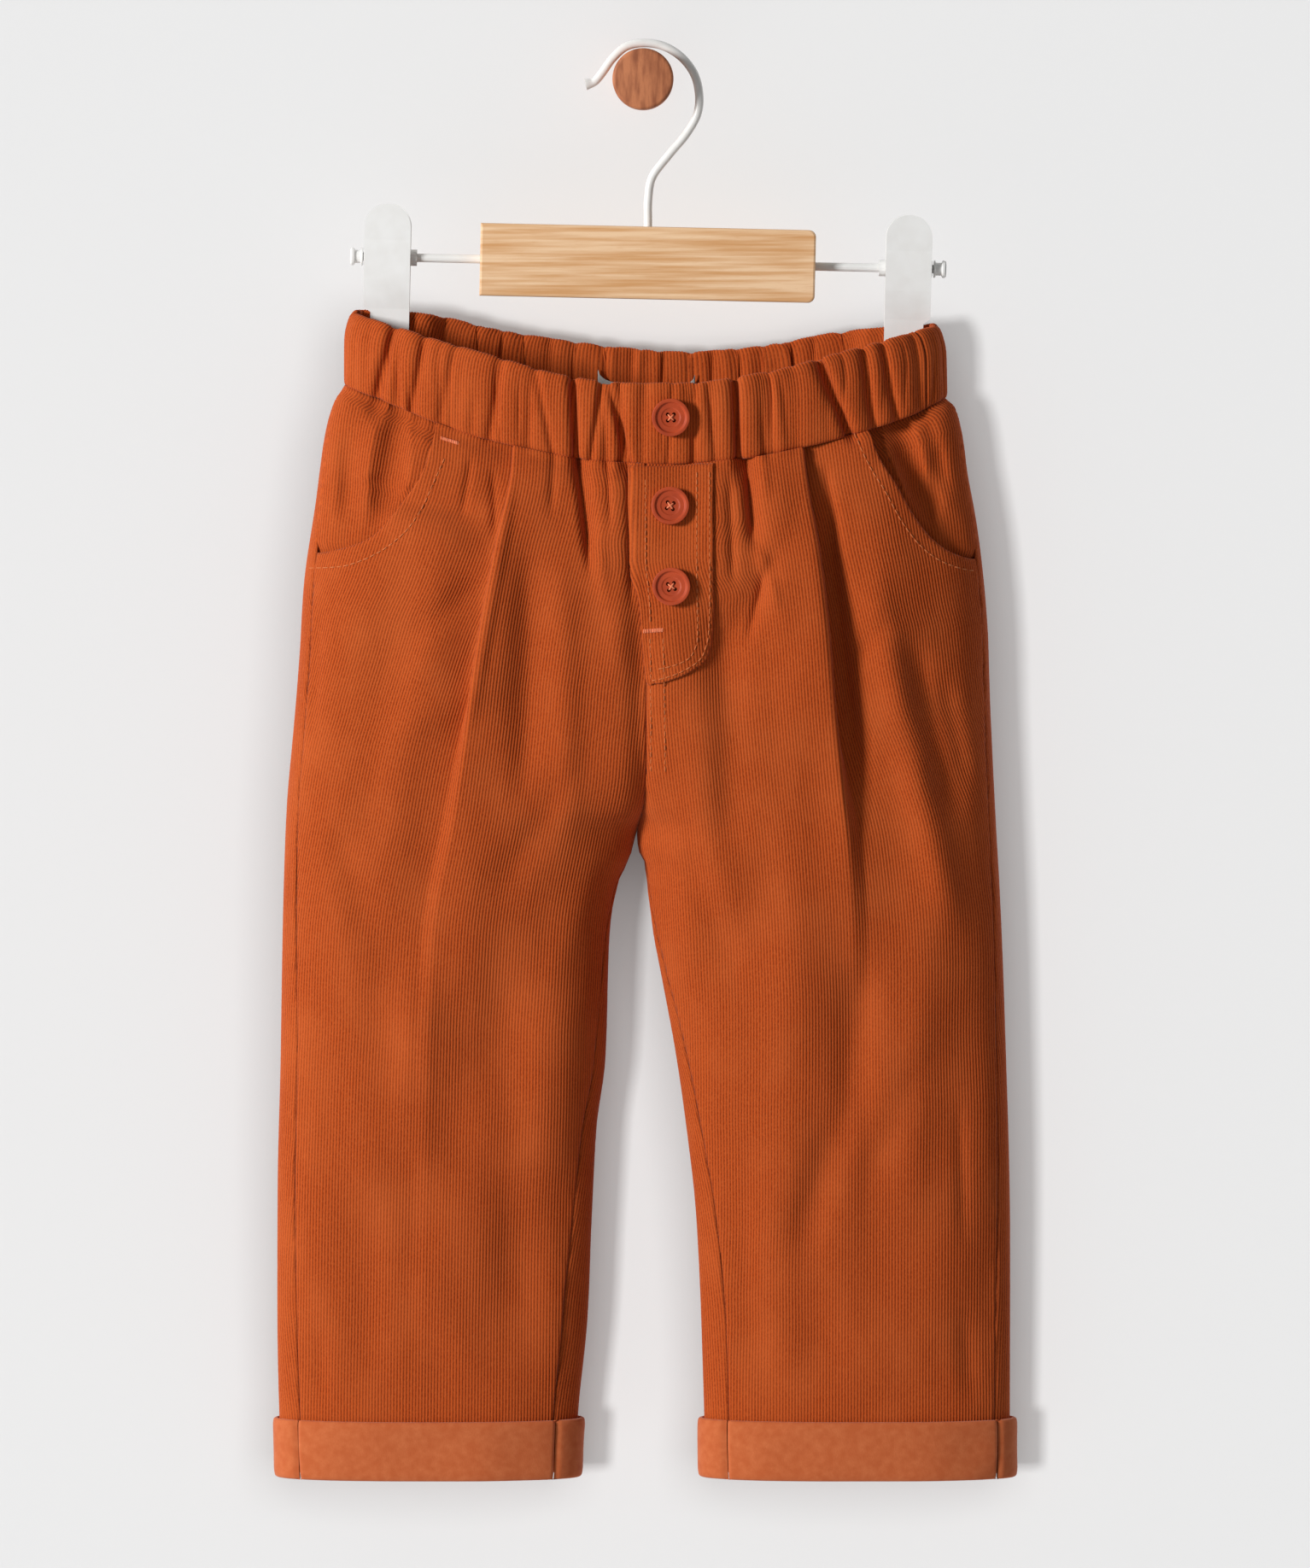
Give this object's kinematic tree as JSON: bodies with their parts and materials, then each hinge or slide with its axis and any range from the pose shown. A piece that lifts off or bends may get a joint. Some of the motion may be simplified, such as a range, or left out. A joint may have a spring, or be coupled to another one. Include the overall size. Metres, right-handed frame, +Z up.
{
  "type": "child's corduroy trousers held in a clip hanger on a wall peg",
  "caption": "Child's rust-orange corduroy pull-on trousers with a gathered waistband, pleats, a mock button fly and turned-up cuffs, held in a wooden clip hanger on a wall peg.",
  "frame": {"origin": "middle of the peg's back face, on the wall", "axes": "+Z up, +X to the right as seen from the front, +Y into the wall, so the front of the trousers faces -Y"},
  "size_m": [0.3004, 0.0822, 0.5786],
  "materials": {
    "cord": "rust-orange needlecord",
    "cuff_cloth": "smooth face turned out, orange",
    "label_cloth": "woven, grey, blank",
    "button_plastic": "semi-gloss rust red",
    "pale_wood": "pale, satin",
    "peg_wood": "brown, satin",
    "white_plastic": "white",
    "white_wire": "white coating"
  },
  "bodies": {
    "root": {"front_right": "cord", "front_left": "cord", "back_right": "cord", "back_left": "cord", "waistband_front": "cord", "waistband_back": "cord", "pocket_facing_right": "cord", "pocket_facing_left": "cord", "fly": "cord", "cuff_right_front": "cuff_cloth", "cuff_right_back": "cuff_cloth", "cuff_left_front": "cuff_cloth", "cuff_left_back": "cuff_cloth", "button_1": "button_plastic", "button_2": "button_plastic", "button_3": "button_plastic", "hanger_rod": "white_plastic", "clip_hub_right": "white_plastic", "clip_front_right": "white_plastic", "clip_back_right": "white_plastic", "rod_cap_right": "white_plastic", "clip_hub_left": "white_plastic", "clip_front_left": "white_plastic", "clip_back_left": "white_plastic", "rod_cap_left": "white_plastic", "label": "label_cloth", "hanger_bar": "pale_wood", "hanger_hook": "white_wire", "wall_peg": "peg_wood"}
  },
  "joints": []
}
